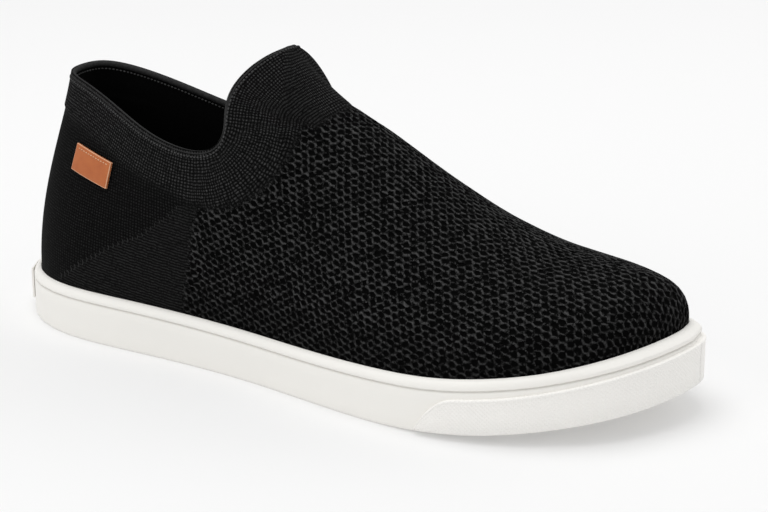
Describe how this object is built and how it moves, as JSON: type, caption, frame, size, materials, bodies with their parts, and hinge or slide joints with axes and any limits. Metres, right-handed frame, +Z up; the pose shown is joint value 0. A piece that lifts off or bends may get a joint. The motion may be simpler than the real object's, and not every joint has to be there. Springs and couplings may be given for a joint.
{
  "type": "slip-on sneaker",
  "caption": "Low knitted slip-on sneaker for the right foot: sock-like black upper, rounded white rubber cup sole with toe bumper, small bare leather tab.",
  "frame": {"origin": "middle of the shoe's box, on the floor", "axes": "+X from heel to toe, -Y towards the outer (lateral) side of the foot, +Z up"},
  "size_m": [0.3024, 0.11, 0.1255],
  "materials": {
    "cupsole": "matt moulded off-white rubber",
    "outsole": "matt off-white tread rubber with chevron lugs",
    "toe_bumper": "off-white rubber with a fine raised diamond texture",
    "heel_patch": "plain off-white rubber",
    "upper": "black knit, open mesh on the vamp and fine rib at the collar",
    "insole": "black cloth-faced foam",
    "side_tab": "bare tan leather with a row of stitches"
  },
  "bodies": {
    "root": {"cupsole": "cupsole", "outsole": "outsole", "toe_bumper": "toe_bumper", "heel_patch": "heel_patch", "upper": "upper", "insole": "insole", "side_tab": "side_tab"}
  },
  "joints": []
}
